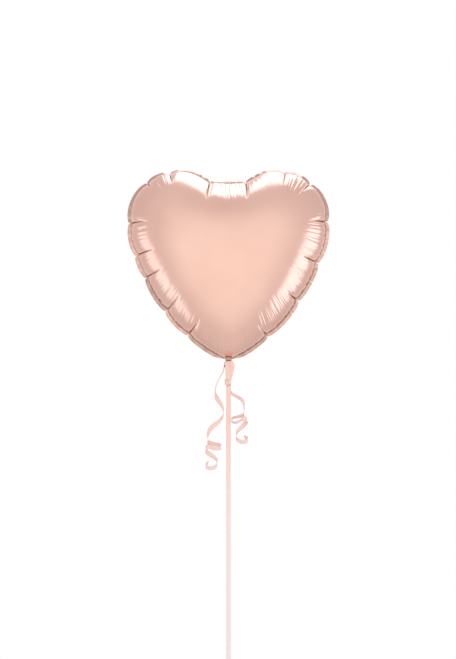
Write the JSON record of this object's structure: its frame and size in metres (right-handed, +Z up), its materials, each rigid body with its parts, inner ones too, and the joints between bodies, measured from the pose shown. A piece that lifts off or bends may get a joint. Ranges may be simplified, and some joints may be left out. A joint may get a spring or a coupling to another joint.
{
  "type": "foil balloon",
  "caption": "Heart-shaped rose gold foil balloon, inflated, with a flat ribbon tied round its neck, curled tails and a hand loop.",
  "frame": {"origin": "middle of the tie, on the axis of the ribbon turns round the gathered neck", "axes": "+Z up through the heart's middle, +X to the right seen from the front, front face towards -Y"},
  "size_m": [0.3774, 0.1688, 1.0116],
  "materials": {
    "rose_foil": "rose gold metallised film, satin mirror",
    "ribbon": "pale peach polypropylene curling ribbon, low gloss",
    "valve_film": "thin clear polyethylene"
  },
  "bodies": {
    "balloon": {"front_foil": "rose_foil", "back_foil": "rose_foil", "valve_front_film": "valve_film", "valve_back_film": "valve_film"},
    "tie": {"neck_gather": "rose_foil", "neck_wrap": "ribbon"},
    "ribbon": {"left_strand": "ribbon", "right_strand": "ribbon", "film_tail": "rose_foil", "ribbon_knot": "ribbon", "long_ribbon": "ribbon", "loop_knot": "ribbon", "right_curl_lead": "ribbon"},
    "left_curl": {"left_curl_stem": "ribbon", "left_curl_coil": "ribbon"},
    "right_curl": {"right_curl_stem": "ribbon", "right_curl_coil": "ribbon"},
    "loop": {"hand_loop": "ribbon"}
  },
  "joints": [
    {"name": "neck_turn", "type": "hinge", "parent": "balloon", "child": "tie", "pos_m": [0, 0, 0], "axis": [0, 0, 1], "range_deg": [-180, 180]},
    {"name": "ribbon_swing", "type": "hinge", "parent": "tie", "child": "ribbon", "pos_m": [0, 0, 0], "axis": [1, 0, 0], "range_deg": [-40, 40]},
    {"name": "left_curl_swing", "type": "hinge", "parent": "tie", "child": "left_curl", "pos_m": [-0.0076, 0, 0], "axis": [1, 0, 0], "range_deg": [-35, 35]},
    {"name": "right_curl_swing", "type": "hinge", "parent": "ribbon", "child": "right_curl", "pos_m": [0.0055, 0.0008, -0.0525], "axis": [1, 0, 0], "range_deg": [-35, 35]},
    {"name": "loop_swing", "type": "hinge", "parent": "ribbon", "child": "loop", "pos_m": [0, 0, -0.565], "axis": [1, 0, 0], "range_deg": [-60, 60]}
  ]
}
